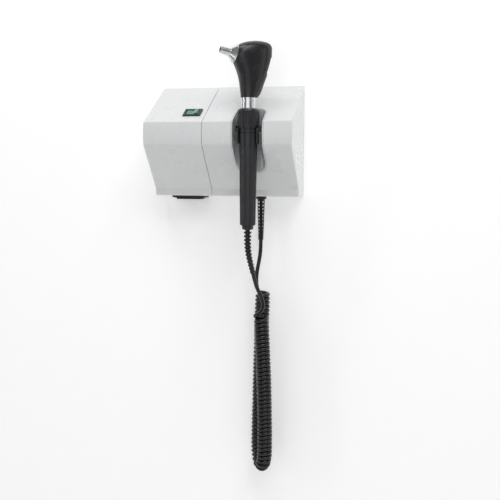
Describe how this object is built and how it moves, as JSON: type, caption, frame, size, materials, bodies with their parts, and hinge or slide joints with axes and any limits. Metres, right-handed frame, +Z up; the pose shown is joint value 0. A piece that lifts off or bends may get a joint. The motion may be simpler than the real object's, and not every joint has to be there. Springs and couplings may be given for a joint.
{
  "type": "wall-mounted otoscope station",
  "caption": "Wall housing with a power switch and a scooped cradle that holds a corded otoscope handle and head, its curly cord hanging in a loop.",
  "frame": {"origin": "centre of the wall plate's wall face", "axes": "+Z up, -Y out from the wall to the front, +X to the right seen from the front"},
  "size_m": [0.18, 0.089, 0.5136],
  "materials": {
    "white_plastic": "moulded white, satin",
    "satin_liner": "silver grey satin paint",
    "black_plastic": "moulded black, fine grain",
    "black_grip": "black handle, satin",
    "black_head": "black head, satin",
    "cord_rubber": "black cord sheath",
    "green_rocker": "translucent green",
    "bright_metal": "polished chrome",
    "steel": "zinc plated",
    "lamination": "stacked steel laminations",
    "aluminium": "extruded",
    "brass": "turned",
    "copper_winding": "enamelled copper wire",
    "bobbin_plastic": "natural nylon",
    "board_green": "circuit board",
    "part_black": "moulded component body",
    "terminal_green": "terminal block",
    "wire_brown": "wire insulation",
    "wire_red": "wire insulation",
    "clear_glass": "clear lens",
    "lamp_glass": "lamp envelope",
    "fibre": "bundled fibres",
    "white_insulator": "insulating plastic"
  },
  "bodies": {
    "station": {"wall_plate": "steel", "power_cover": "white_plastic", "holder_cover": "white_plastic", "cover_screws": "steel", "cradle_insert": "satin_liner", "cradle_fork": "black_plastic", "cradle_bracket": "steel", "switch_bezel": "black_plastic", "rocker_pin": "steel", "switch_terminals": "brass", "mains_inlet": "black_plastic", "inlet_pins": "brass", "inlet_screws": "steel", "transformer_core": "lamination", "transformer_bobbin": "bobbin_plastic", "transformer_winding": "copper_winding", "circuit_board": "board_green", "standoffs": "brass", "inside_screws": "steel", "filter_capacitor": "part_black", "heat_sink": "aluminium", "voltage_regulator": "part_black", "bridge_rectifier": "part_black", "terminal_block": "terminal_green", "wire_grommet": "cord_rubber", "power_wires": "wire_brown", "supply_wires": "wire_red", "wall_boot": "cord_rubber", "gland_nut": "black_plastic", "output_lead": "cord_rubber", "lead_clip": "black_plastic", "cord_wall_tail": "cord_rubber", "curly_loop": "cord_rubber", "cord_handle_tail": "cord_rubber"},
    "switch_rocker": {"rocker": "green_rocker"},
    "handle": {"handle_grip": "black_grip", "handle_collar": "black_grip", "bayonet_neck": "bright_metal", "ring_clip": "steel", "rheostat_track": "white_insulator", "contact_insulator": "white_insulator", "contact_pin": "brass", "contact_spring": "steel", "spring_seat": "white_insulator", "end_cap": "black_grip", "handle_boot": "cord_rubber", "handle_lead": "cord_rubber", "lead_clamp": "brass"},
    "dimmer_ring": {"rheostat_ring": "black_grip", "ring_wiper": "brass"},
    "head": {"head_shell": "black_head", "head_socket": "bright_metal", "nose_piece": "bright_metal", "pivot_pin": "steel", "lamp_base": "brass", "lamp_bulb": "lamp_glass", "lamp_holder": "white_insulator", "light_guide": "fibre"},
    "lens": {"lens_frame": "black_head", "lens_glass": "clear_glass"}
  },
  "joints": [
    {"name": "rocker_press", "type": "hinge", "parent": "station", "child": "switch_rocker", "pos_m": [-0.0336, -0.05331, 0.02964], "axis": [0, 0.8413, 0.5405], "range_deg": [0, 20]},
    {"name": "handle_lift", "type": "slide", "parent": "station", "child": "handle", "axis": [0, -0.7071, 0.7071], "range_m": [0, 0.08]},
    {"name": "dimmer_turn", "type": "hinge", "parent": "handle", "child": "dimmer_ring", "pos_m": [0.0373, -0.066, 0.024], "axis": [0, 0, 1], "range_deg": [-120, 120]},
    {"name": "head_twist", "type": "hinge", "parent": "handle", "child": "head", "pos_m": [0.0373, -0.066, 0.0478], "axis": [0, 0, 1], "range_deg": [0, 25]},
    {"name": "lens_swing", "type": "hinge", "parent": "head", "child": "lens", "pos_m": [0.05272, -0.0552, 0.1018], "axis": [0.8091, 0.5665, -0.1564], "range_deg": [0, 100]}
  ]
}
